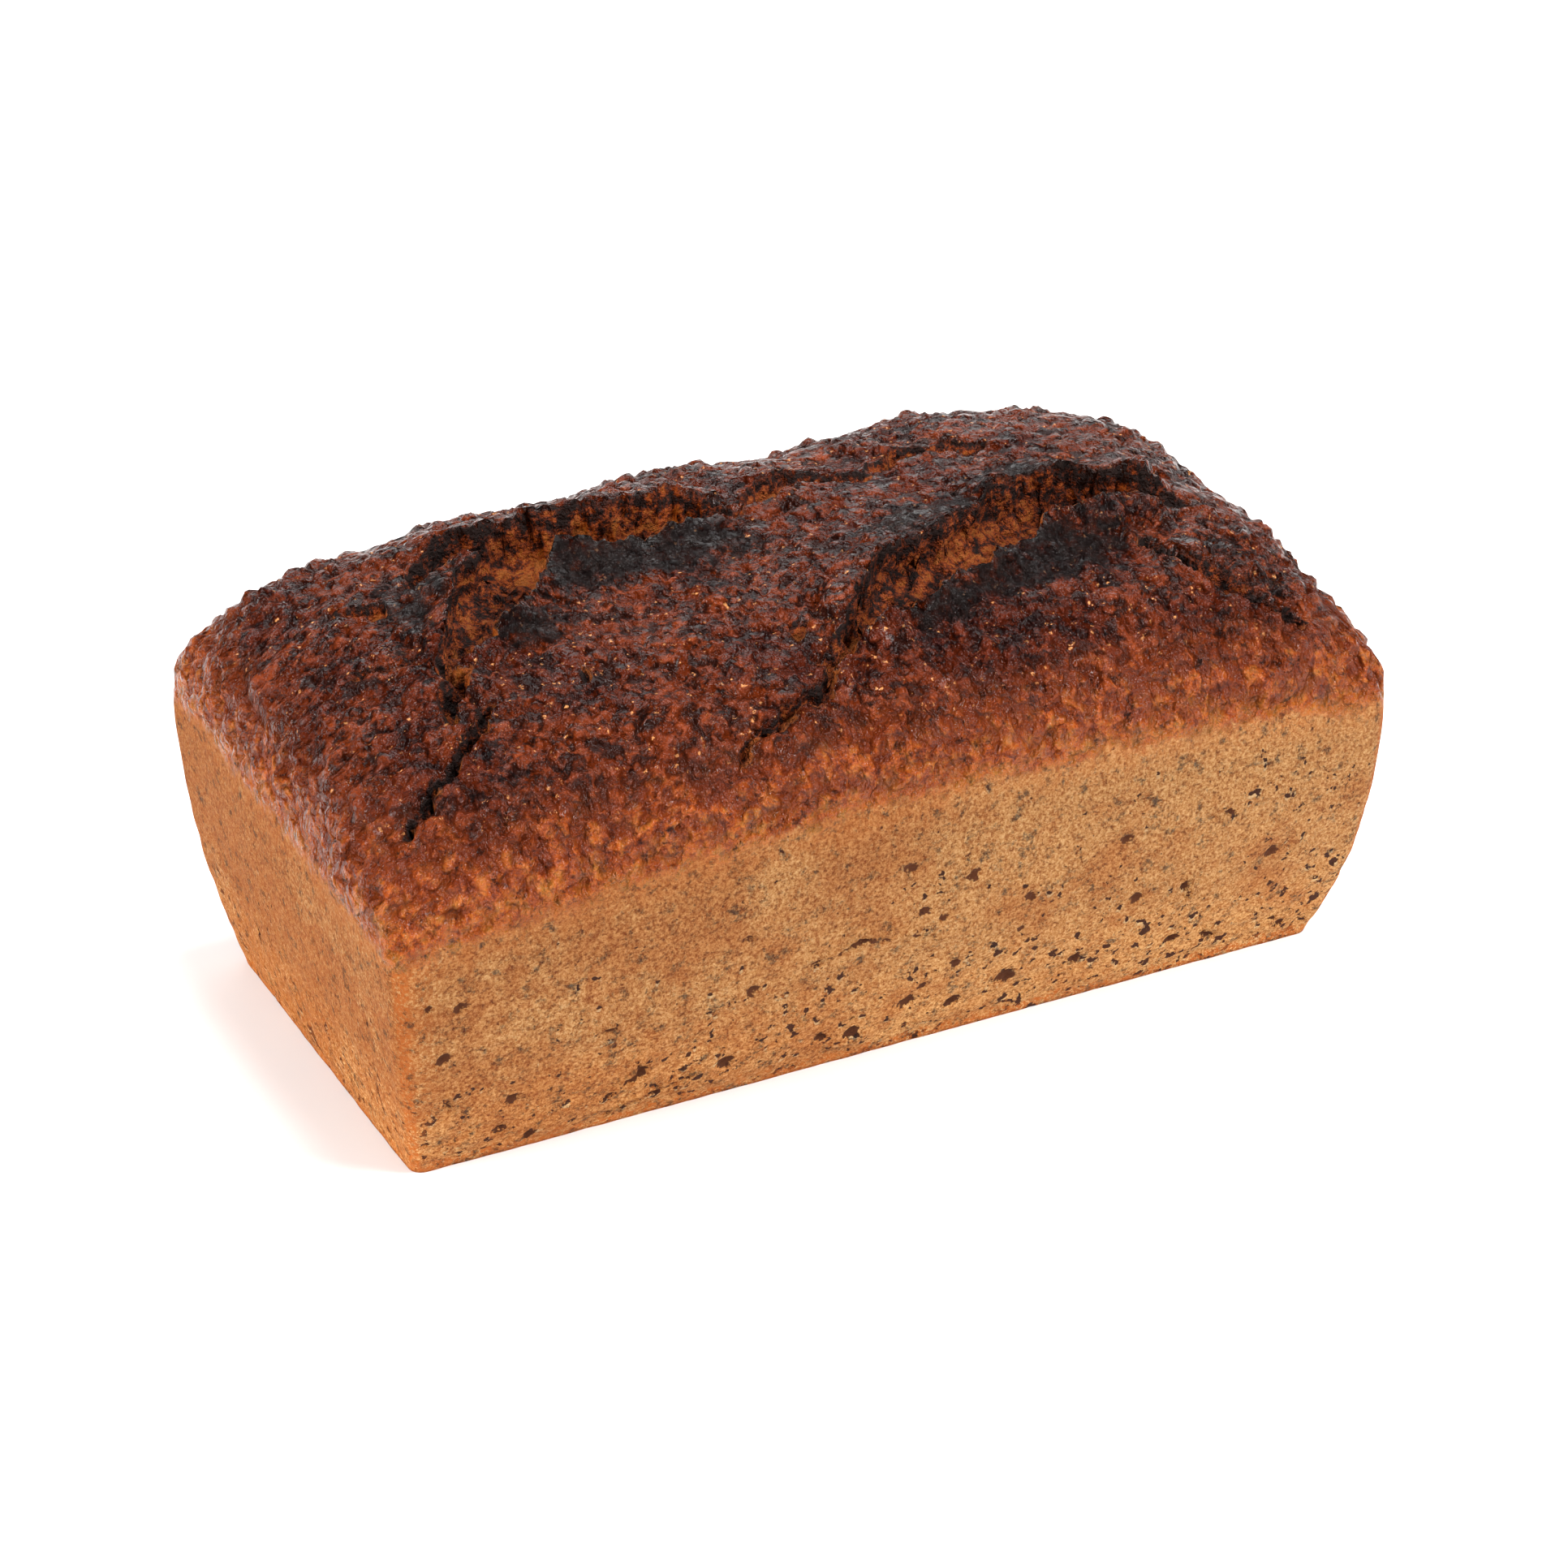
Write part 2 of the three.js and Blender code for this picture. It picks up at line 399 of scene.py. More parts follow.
def lattice():
    """The box that the loaf is shaped from: u, v and level of each point, and its faces. Rings run up
    the walls and over the shoulders, a grid fills the crown, and a coarser grid fills the base, which
    a belt of triangles joins to the lowest ring."""
    along = np.linspace(-1, 1, STEPS_ALONG + 1)
    across = np.linspace(-1, 1, STEPS_ACROSS + 1)
    ring_u, ring_v = ring(along, across)
    around = len(ring_u)
    full_rise = (1 - SHOULDER_END**2) ** (1 / FULLNESS)
    rise = np.linspace(0, full_rise, STEPS_SHOULDER + 1)[1:]
    scales = np.concatenate([np.ones(STEPS_UP + 1), np.sqrt(1 - rise**FULLNESS)])
    levels = np.concatenate([np.linspace(0, 1, STEPS_UP + 1), np.ones(STEPS_SHOULDER)])
    u = [np.outer(scales, ring_u).ravel()]
    v = [np.outer(scales, ring_v).ravel()]
    level = [np.repeat(levels, around)]
    rings = np.arange(len(scales) * around).reshape(len(scales), around)
    crown_u, crown_v = np.meshgrid(along[1:-1], across[1:-1], indexing="ij")
    u.append(crown_u.ravel() * SHOULDER_END)
    v.append(crown_v.ravel() * SHOULDER_END)
    level.append(np.ones(crown_u.size))
    base_u, base_v = np.meshgrid(along[::BASE_COARSER], across[::BASE_COARSER], indexing="ij")
    u.append(base_u.ravel() * BASE_INSET)
    v.append(base_v.ravel() * BASE_INSET)
    level.append(np.zeros(base_u.size))
    crown = rings.size + np.arange(crown_u.size)
    base = (rings.size + crown.size + np.arange(base_u.size)).reshape(base_u.shape)
    below, above = rings[:-1], rings[1:]
    walls = np.stack([below, np.roll(below, -1, 1), np.roll(above, -1, 1), above], axis=2)
    top = quads_of(grid_index(rings[-1], crown, STEPS_ALONG, STEPS_ACROSS))
    under = quads_of(base)[:, ::-1]
    inner = np.concatenate([base[:-1, 0], base[-1, :-1], base[:0:-1, -1], base[0, :0:-1]])
    belt = belt_between(inner, rings[0].reshape(-1, BASE_COARSER))
    quads = np.concatenate([walls.reshape(-1, 4), top, under])
    return np.concatenate(u), np.concatenate(v), np.concatenate(level), quads, belt


def point_normals(points, quads):
    """The mean direction of the four-cornered faces around each point, each weighed by its area."""
    a, b, c, d = (points[quads[:, k]] for k in range(4))
    facing = np.cross(c - a, d - b)
    total = np.zeros((len(points), 3))
    for axis in range(3):
        for k in range(4):
            total[:, axis] += np.bincount(quads[:, k], facing[:, axis], len(points))
    return total / np.maximum(np.linalg.norm(total, axis=1, keepdims=True), TINY)


def routes_field(x, y, routes):
    """How far inside the nearest route's opening each point lies, the opening's depth and half width
    there, how far across it the point is from its front lip at 0 to its back lip at 1, and the way out
    from the route."""
    inside = np.full(len(x), FAR_OUTSIDE)
    depth, back, wide = np.zeros(len(x)), np.zeros(len(x)), np.ones(len(x))
    out_x, out_y = np.zeros(len(x)), np.zeros(len(x))
    for route in routes:
        for (x0, y0, half0, depth0), (x1, y1, half1, depth1) in zip(route, route[1:]):
            run_x, run_y = x1 - x0, y1 - y0
            length = math.hypot(run_x, run_y)
            t = np.clip(((x - x0) * run_x + (y - y0) * run_y) / length**2, 0, 1)
            dx, dy = x - (x0 + t * run_x), y - (y0 + t * run_y)
            off = np.hypot(dx, dy)
            half = lerp(half0, half1, t)
            here = half - off
            nearer = here > inside
            backward = math.copysign(1, run_x) / length
            across = (dy * run_x - dx * run_y) * backward / half
            inside = np.where(nearer, here, inside)
            depth = np.where(nearer, lerp(depth0, depth1, t), depth)
            wide = np.where(nearer, half, wide)
            back = np.where(nearer, np.clip(0.5 + 0.5 * across, 0, 1), back)
            out_x = np.where(nearer, dx / np.maximum(off, TINY), out_x)
            out_y = np.where(nearer, dy / np.maximum(off, TINY), out_y)
    return inside, depth, back, wide, out_x, out_y


def domes(points, kind, seed):
    """Round knobs of one kind: each stands on a scattered seed, with a height of its own."""
    spacing, radius, share = kind
    near, number = scatter(points, spacing, seed)
    return share * (np.clip(1 - (near / radius) ** 2, 0, 1) * (0.3 + 0.7 * number))


def crown_relief(points, rise, look):
    """The height of the crust's lumps and knobs, how far each point stands out of the hollows, and
    where the crown is. Broad swellings carry knobs of three kinds, which are higher in some patches,
    and creases run between them."""
    crown = smooth(-4, 7, rise)
    patch = lerp(0.25, 1, smooth(-0.4, 0.4, noise(points, 15, 3))) * lerp(1.1, 0.8, smooth(22, 32, rise))
    hanging = points * HANGING
    knob = np.maximum(domes(hanging, KNOBS, 4), domes(hanging, SMALL_KNOBS, 5))
    grit = domes(points, GRIT, 7)
    crease = np.abs(noise(points, 6, 6))
    height = look.knob_height / MM * patch * (knob + grit) - CREASE_DEPTH * smooth(0.25, 0, crease)
    standing = knob * (0.6 + 0.4 * patch) + grit - 0.5 * smooth(0.2, 0, crease)
    return crown * (layered(points, SWELLINGS, 1) + height), standing, crown


def split_crust(points, relief, rise, look):
    """Opens the splits. Outside a lip the crust is raised; inside, it falls steeply behind the front
    lip to a crumb floor, which climbs in a rough slope to the back lip. The back lip leans over it."""
    x = points[:, 0] + layered(points, LIP_WANDER, 11)
    y = points[:, 1] + layered(points, LIP_WANDER, 41)
    inside, depth, back, wide, out_x, out_y = routes_field(x, y, SPLITS)
    inside = np.where(rise > 0, inside, FAR_OUTSIDE)
    deep = np.clip(depth / DEEP_SPLIT, 0, 1) * smooth(1, 6, wide)
    wall = np.minimum(lerp(*WALL_WIDTHS, back), np.maximum(0.7 * wide, 0.8))
    opened = smooth(-0.1, 1, inside / wall)
    floor = depth * (1 - 0.25 * deep * smooth(0.5, 1, back))
    lip = look.lip_height / MM * deep * (1 + 0.8 * noise(points, 11, 18))
    raised = lip * np.exp(np.minimum(inside, 0) / LIP_REACH) * (1 - smooth(0, 1.8, inside))
    height = relief * (1 - opened) + raised - opened * floor
    lean = deep * lerp(*LIP_LEANS, back)
    shift = lean * (np.exp(-((inside / 1.5) ** 2)) - 0.6 * np.exp(-(((inside - 2.6) / 1.3) ** 2)))
    return height, shift, inside, back, depth, out_x, out_y


def crumble(points, amount):
    """Moves torn crumb by noise taken where the points have come to lie, so that steep walls are as
    rough as the floor, and sinks a pit around each scattered seed."""
    coarse = np.stack([noise(points, 5, 61 + axis) for axis in range(3)], axis=1)
    fine = np.stack([noise(points, 2.6, 64 + axis) for axis in range(3)], axis=1)
    rough = CRUMB_ROUGHNESS * coarse + CRUMB_ROUGHNESS * fine
    near, number = scatter(points, 5, 67)
    rough[:, 2] -= CRUMB_PIT_DEPTH * np.clip(1 - near / 2.4, 0, 1) * number
    return points + rough * amount[:, None]


def wall_pores(points, rise, look):
    """How far inside a pore each point lies. Pores lie around scattered seeds, and are larger and more
    frequent low on the walls; the near wall has some more, each at a place of its own."""
    bent = points + 0.9 * np.stack([noise(points, 3.2, 21 + axis) for axis in range(3)], axis=1)
    low = 1 - smooth(4, 50, points[:, 2])
    inside = np.full(len(points), float(NO_PORE))
    for size, seed in ((9, 24), (5.5, 25)):
        near, number = scatter(bent, size, seed)
        radius = size * 0.19 * look.pore_amount * (0.35 + 0.65 * low) * smooth(0.45, 1, number)
        inside = np.maximum(inside, np.where(radius > 0.25, radius - near, NO_PORE))
    for x, z, radius in NEAR_PORES:
        away = np.hypot(0.75 * (bent[:, 0] - x), bent[:, 2] - z)
        inside = np.maximum(inside, np.where(points[:, 1] < 0, radius - away, NO_PORE))
    return np.where(rise < 2, np.clip(inside, NO_PORE, -NO_PORE), NO_PORE)


def wall_relief(points, rise, look):
    """The height of the walls' ripples, pores, tears and ragged lower edge, and how far inside a pore
    or a tear each point lies. The ripples are stronger low down, and all of it is weaker at the base."""
    x, y, z = points.T
    pore = wall_pores(points, rise, look)
    tears = routes_field(x + 0.6 * noise(points, 4, 31), z + 0.6 * noise(points, 4, 32), TEARS)
    tear = np.where((y < 0) & (rise < -4), np.clip(tears[0], NO_PORE, -NO_PORE), NO_PORE)
    low = 1 - smooth(5, 45, z)
    ripple = layered(points, [(0.5, 30), (lerp(0.15, 0.45, low), 8), (lerp(0.08, 0.25, low), 3.2)], 33)
    pits = -PORE_DEPTH * smooth(-0.2, 1.0, pore) - TEAR_DEPTH * smooth(-0.2, 0.8, tear)
    lifted = smooth(-1.6, -0.3, tear) * smooth(0.3, -0.2, tear) * smooth(0.3, 0.8, tears[2])
    ragged = (1 - smooth(0, 6, z)) * (0.6 + noise(points, 6, 36))
    height = ripple + pits + TEAR_LIP * lifted - LOWER_EDGE_LOSS * ragged
    return height * (0.25 + 0.75 * smooth(0, 4, z)), np.maximum(pore, tear)


def char_amount(points, rise, opening, depth):
    """How charred the crust is: around its hottest places, and along the lips of the deep splits."""
    lips = 0.4 * smooth(5.5, 10, depth) * np.exp(np.minimum(opening, 0) / 4)
    spots = np.zeros(len(points))
    for x, y, radius, strength in CHARRED:
        away = np.hypot(points[:, 0] - x, points[:, 1] - y)
        spots += strength * np.exp(-((away / radius) ** 2))
    return np.clip(spots + lips, 0, 1) * smooth(0, 6, rise)


def shape_loaf(look):
    """The finished crust: points in millimetres, faces, and what the material reads at each point."""
    u, v, level, quads, belt = lattice()
    points, corner, rise = smooth_loaf(u, v, level, look)
    normals = point_normals(points, quads)
    relief, knob, crown = crown_relief(points, rise, look)
    height, shift, opening, back, depth, out_x, out_y = split_crust(points, relief, rise, look)
    marks, pore = wall_relief(points, rise, look)
    height = height + (1 - crown) * marks
    on_base = (level <= 0) & (np.maximum(np.abs(u), np.abs(v)) < BASE_INSET + TINY)
    height = np.where(on_base, 0, height)
    moved = points + normals * height[:, None]
    moved[:, 0] -= out_x * shift
    moved[:, 1] -= out_y * shift
    moved = crumble(moved, smooth(-0.8, 1.4, opening) * smooth(1, 6, depth))
    moved[level <= 0, 2] = 0
    reads = {
        "rise": rise,
        "opening": np.clip(opening, -6, 12),
        "back_side": back,
        "char": char_amount(points, rise, opening, depth),
        "pore": pore,
        "knob": knob,
        "corner": corner,
    }
    return moved, quads, belt, reads


def put_in_scene(name, points, quads, triangles, reads):
    """Puts points, in millimetres, and faces into a smooth mesh at the origin."""
    mesh = bpy.data.meshes.new(name)
    mesh.vertices.add(len(points))
    mesh.vertices.foreach_set("co", (points * MM).astype(np.float32).ravel())
    corners = np.concatenate([quads.ravel(), triangles.ravel()])
    starts = np.concatenate([np.arange(len(quads)) * 4, len(quads) * 4 + np.arange(len(triangles)) * 3])
    mesh.loops.add(len(corners))
    mesh.loops.foreach_set("vertex_index", corners.astype(np.int32))
    mesh.polygons.add(len(starts))
    mesh.polygons.foreach_set("loop_start", starts.astype(np.int32))
    for key, values in reads.items():
        attribute = mesh.attributes.new(key, "FLOAT", "POINT")
        attribute.data.foreach_set("value", np.asarray(values, np.float32))
    mesh.update(calc_edges=True)
    if mesh.validate():
        raise RuntimeError(name + " has faces that are not valid")
    mesh.shade_smooth()
    piece = bpy.data.objects.new(name, mesh)
    bpy.context.scene.collection.objects.link(piece)
    return piece


# ---- materials ------------------------------------------------------------------------------


class Recipe:
    """A material's nodes, added step by step. Sizes are in millimetres."""

    def __init__(self, name):
        self.material = bpy.data.materials.new(name)
        self.material.use_nodes = True
        self.tree = self.material.node_tree
        self.tree.nodes.clear()
        self.place = self.add("ShaderNodeTexCoord").outputs["Object"]

    def add(self, kind, feeds=None, **settings):
        """A node with its settings, and its inputs fed by other steps or by plain values."""
        node = self.tree.nodes.new(kind)
        for key, value in settings.items():
            setattr(node, key, value)
        for socket, value in (feeds or {}).items():
            if isinstance(value, bpy.types.NodeSocket):
                self.tree.links.new(value, node.inputs[socket])
            else:
                node.inputs[socket].default_value = value
        return node

    def read(self, name):
        """What the mesh's points say under a name."""
        return self.add("ShaderNodeAttribute", attribute_name=name).outputs["Fac"]

    def stretched(self, x, y, z):
        """Coordinates scaled along each axis, so that a pattern on them is squeezed or drawn out."""
        return self.add("ShaderNodeMapping", {"Vector": self.place, "Scale": (x, y, z)}).outputs[0]

    def moved(self, x, y, z):
        """Coordinates moved along each axis, in millimetres."""
        feeds = {"Vector": self.place, "Location": (x * MM, y * MM, z * MM)}
        return self.add("ShaderNodeMapping", feeds).outputs[0]

    def axes(self):
        """Distance along each axis, in millimetres."""
        feeds = {0: self.place, 1: (1 / MM, 1 / MM, 1 / MM)}
        scaled = self.add("ShaderNodeVectorMath", feeds, operation="MULTIPLY").outputs[0]
        return self.add("ShaderNodeSeparateXYZ", {0: scaled}).outputs[:]

    def bent(self, place, size, amount):
        """Coordinates pushed about by noise of a size, in millimetres, so that a pattern is irregular."""
        feeds = {"Vector": place, "Scale": 1 / (size * MM), "Detail": 2}
        push = self.add("ShaderNodeTexNoise", feeds).outputs["Color"]
        feeds = {0: push, 1: (0.5, 0.5, 0.5)}
        away = self.add("ShaderNodeVectorMath", feeds, operation="SUBTRACT").outputs[0]
        feeds = {0: away, 1: (amount * MM,) * 3, 2: place}
        return self.add("ShaderNodeVectorMath", feeds, operation="MULTIPLY_ADD").outputs[0]

    def noise(self, size, detail=4, rough=0.6, place=None):
        """Noise from 0 to 1, of a size in millimetres. Detail is how many finer layers it has, and
        rough is how strong they are."""
        place = place or self.place
        feeds = {"Vector": place, "Scale": 1 / (size * MM), "Detail": detail, "Roughness": rough}
        return self.add("ShaderNodeTexNoise", feeds).outputs["Fac"]

    def cells(self, size, place):
        """How far off the nearest of some scattered points is, as a share of their spacing."""
        feeds = {"Vector": place, "Scale": 1 / (size * MM)}
        return self.add("ShaderNodeTexVoronoi", feeds).outputs["Distance"]

    def math(self, operation, a, b):
        """One step of arithmetic."""
        return self.add("ShaderNodeMath", {0: a, 1: b}, operation=operation).outputs[0]

    def plus(self, first, *others):
        """The sum of some values."""
        for other in others:
            first = self.math("ADD", first, other)
        return first

    def times(self, first, *others):
        """The product of some values."""
        for other in others:
            first = self.math("MULTIPLY", first, other)
        return first

    def minus(self, a, b):
        """The first value less the second."""
        return self.math("SUBTRACT", a, b)

    def larger(self, a, b):
        """The larger of two values."""
        return self.math("MAXIMUM", a, b)

    def swing(self, value, middle, amount):
        """How far a value is from a middle, made so many times larger."""
        return self.times(self.minus(value, middle), amount)

    def band(self, value, low, high):
        """0 below low, 1 above high and an S-curve between; the other way round where high is lower."""
        feeds = {"Value": value, "From Min": low, "From Max": high}
        return self.add("ShaderNodeMapRange", feeds, interpolation_type="SMOOTHSTEP").outputs[0]

    def mix(self, factor, a, b, blend="MIX"):
        """A blend of two colours, each another step or three numbers."""
        a, b = (c if isinstance(c, bpy.types.NodeSocket) else (*c, 1) for c in (a, b))
        feeds = {0: factor, 6: a, 7: b}
        return self.add("ShaderNodeMix", feeds, data_type="RGBA", blend_type=blend).outputs[2]

    def tinted(self, factor, colour, tint):
        """A colour multiplied by a tint where the factor is 1."""
        return self.mix(factor, colour, tint, "MULTIPLY")

    def mix_value(self, factor, a, b):
        """A blend of two numbers."""
        return self.add("ShaderNodeMix", {0: factor, 2: a, 3: b}, data_type="FLOAT").outputs[0]

    def ramp(self, factor, *stops):
        """Colours at places from 0 to 1."""
        node = self.add("ShaderNodeValToRGB", {"Fac": factor})
        elements = node.color_ramp.elements
        for _ in stops[2:]:
            elements.new(0.5)
        for element, (place, colour) in zip(elements, stops):
            element.position = place
            element.color = (*colour, 1)
        return node.outputs["Color"]

    def finish(self, colour, roughness, height, bump, **uniform):
        """The shader, with its bump; uniform values go straight onto its sockets."""
        feeds = {"Height": height, "Strength": 1.0, "Distance": bump * MM}
        normal = self.add("ShaderNodeBump", feeds).outputs[0]
        feeds = {"Base Color": colour, "Roughness": roughness, "Normal": normal}
        feeds.update({key.replace("_", " "): value for key, value in uniform.items()})
        shader = self.add("ShaderNodeBsdfPrincipled", feeds).outputs[0]
        self.add("ShaderNodeOutputMaterial", {"Surface": shader})
        return self.material


def changed(colour, red, green, blue):
    """A colour with each of its parts made weaker or stronger, up to 1."""
    return tuple(min(part * share, 1) for part, share in zip(colour, (red, green, blue)))


def wall_colour(r, look, rise):
    """Tan walls with a fine grain, broad clouds, small pits, and ragged holes with a pale curled lip
    under each. They are mottled towards the left, orange along the base, the upright edges and the left
    end, and painted with light: lighter at the base where the floor's bounced light falls, darker higher
    up. Gives the colour and the height of the bump."""
    wall = tuple(look.wall_colour)
    dark = changed(wall, 0.5, 0.28, 0.14)
    pale = changed(wall, 1.4, 1.75, 2.3)
    orange = changed(wall, 0.9, 0.5, 0.25)
    x, _, z = r.axes()
    grain = r.noise(0.75, 4, 0.85)
    colour = r.ramp(grain, (0.37, dark), (0.5, wall), (0.62, pale))
    leftward = r.mix_value(r.band(x, 20, -110), 0.25, 0.7)
    mottle = r.times(r.band(r.noise(2.8, 5, 0.8), 0.52, 0.42), leftward)
    colour = r.tinted(mottle, colour, MOTTLE_TINT)
    cloud = r.plus(r.noise(26, 6, 0.72), r.times(x, 0.0006))
    warm = r.tinted(1.0, colour, look.wall_warm_colour)
    colour = r.mix(r.band(cloud, 0.4, 0.56), warm, colour)
    low = r.plus(r.times(r.band(z, 46, 4), 0.085), r.times(x, 0.0002))
    open_here = r.plus(low, r.swing(r.noise(12, 3), 0.5, 0.4))
    hole = r.plus(r.noise(2.4, 3, 0.5), open_here)
    below = r.plus(r.noise(2.4, 3, 0.5, r.moved(0, 0, 0.8)), open_here)
    speck = r.plus(r.noise(1.3, 3, 0.6), r.times(open_here, 0.5))
    holes = r.larger(r.band(hole, 0.7, 0.72), r.times(r.band(speck, 0.715, 0.74), 0.85))
    lip = r.times(r.band(below, 0.7, 0.73), r.band(r.noise(7, 2), 0.46, 0.56))
    pits = r.band(r.noise(1.2, 4, 0.75), 0.57, 0.66)
    colour = r.tinted(r.times(pits, 0.75), colour, PIT_TINT)
    colour = r.mix(r.times(lip, 0.6), colour, look.flake_colour)
    # Painted shade: the holes are painted dark brown.
    colour = r.mix(holes, colour, SHADED_HOLE_COLOUR)
    fray = r.swing(r.noise(3, 5, 0.7), 0.5, 16)
    hem = r.larger(r.band(r.plus(z, fray), 3.5, 0.5), r.band(r.read("corner"), 0.3, 0.65))
    edges = r.larger(hem, r.times(r.band(x, -103, -110), 0.45))
    colour = r.mix(edges, colour, r.mix(r.band(grain, 0.46, 0.62), orange, colour))
    # Painted light: lighter low on the walls, where bounced light from the floor falls, and darker higher up.
    shade = r.ramp(r.math("DIVIDE", z, PAINTED_LIGHT_HEIGHT), *PAINTED_WALL_LIGHT)
    colour = r.tinted(1.0, colour, shade)
    colour = r.mix(r.times(r.band(rise, -9, 0), 0.14), colour, orange)
    sunk = r.minus(r.minus(r.times(grain, 1.3), r.times(holes, 1.2)), r.times(pits, 0.5))
    return colour, r.plus(sunk, r.times(r.noise(4, 4, 0.6), 1.4), r.times(lip, 0.7))


def crown_colour(r, look, dome):
    """Dark crust: maroon clouded with rust and purple-black, with painted shade darkening the hollows
    between knobs, darker in broad dusky patches, and with specks of tan bran."""
    crust = tuple(look.crust_colour)
    black = changed(crust, 0.3, 0.42, 0.9)
    rust = changed(crust, 1.6, 1.5, 0.9)
    colour = r.ramp(r.noise(6, 6, 0.76), (0.34, black), (0.47, crust), (0.66, rust))
    # Painted shade: the hollows between the knobs are painted black and deep red.
    painted_hollow_shade = r.band(dome, 0.56, 0.12)
    deep = r.mix(r.band(r.noise(5, 5, 0.7), 0.46, 0.56), SHADED_HOLLOW_BLACK, SHADED_HOLLOW_RED)
    colour = r.mix(r.times(painted_hollow_shade, 0.95), colour, deep)
    dusk = r.band(r.noise(26, 5, 0.65), 0.55, 0.43)
    colour = r.tinted(r.times(dusk, 0.75), colour, DUSK_TINT)
    bran = r.band(r.cells(1.9, r.bent(r.place, 1.2, 1.6)), 0.3, 0.16)
    some = r.band(r.noise(2.5, 5, 0.75), 0.54, 0.6)
    return r.mix(r.times(bran, some), colour, look.bran_colour)


def shoulder_colour(r, look, dome, browned):
    """The crust between the tin line and the dark top: orange-brown, clouded from brown through red to
    olive, redder higher up, and painted brown in the hollows as shade."""
    base = tuple(look.shoulder_colour)
    olive = changed(base, 0.8, 1.15, 1.3)
    red = changed(base, 0.78, 0.55, 0.55)
    brown = changed(base, 0.3, 0.18, 0.28)
    height = r.mix_value(r.band(browned, 0, 18), 0.64, 0.3)
    patch = r.plus(r.swing(r.noise(4, 6, 0.75), 0.5, 3.4), height)
    colour = r.ramp(patch, (0.1, brown), (0.4, red), (0.66, base), (1.0, olive))
    # Painted shade: the hollows between the knobs are painted brown.
    painted_hollow_shade = r.times(r.band(dome, 0.52, 0.06), r.band(browned, -1, 9))
    return r.mix(r.times(painted_hollow_shade, 0.8), colour, brown)


def crumb_colour(r, look, opening, back):
    """Torn crumb: flecked with tan, orange, brown and black, with painted shade making it nearly black
    under the back lip, and a thin orange edge at the front lip painted brighter as light falling on it.
    It is orange in the left split and darkest at its far left."""
    orange = tuple(look.crumb_colour)
    tan = changed(orange, 1.15, 1.9, 3.5)
    brown = changed(orange, 0.34, 0.3, 0.4)
    black = changed(orange, 0.04, 0.06, 0.3)
    fleck = r.swing(r.noise(3, 6, 0.78), 0.5, 5.5)
    region = r.swing(r.noise(17, 2), 0.5, 1.3)
    x = r.axes()[0]
    left_split = r.mix_value(r.band(x, -58, -36), 0.66, 0.42)
    along = r.mix_value(r.band(x, -10, 10), left_split, 0.54)
    # Painted shade: nearly black under the back lip, which leans over the split.
    under = r.times(r.band(opening, 1.8, 0.5), r.band(back, 0.5, 0.75))
    shade = r.plus(r.times(under, 0.45), along, r.plus(fleck, region))
    colour = r.ramp(shade, (0.05, tan), (0.36, orange), (0.66, brown), (1.0, black))
    # Painted light: a brighter orange edge where light falls on the crumb at the front lip.
    painted_lit_edge = r.times(r.band(opening, 0.8, 0.1), r.band(back, 0.7, 0.3))
    return r.mix(r.times(painted_lit_edge, 0.6), colour, LIT_TORN_EDGE_COLOUR)


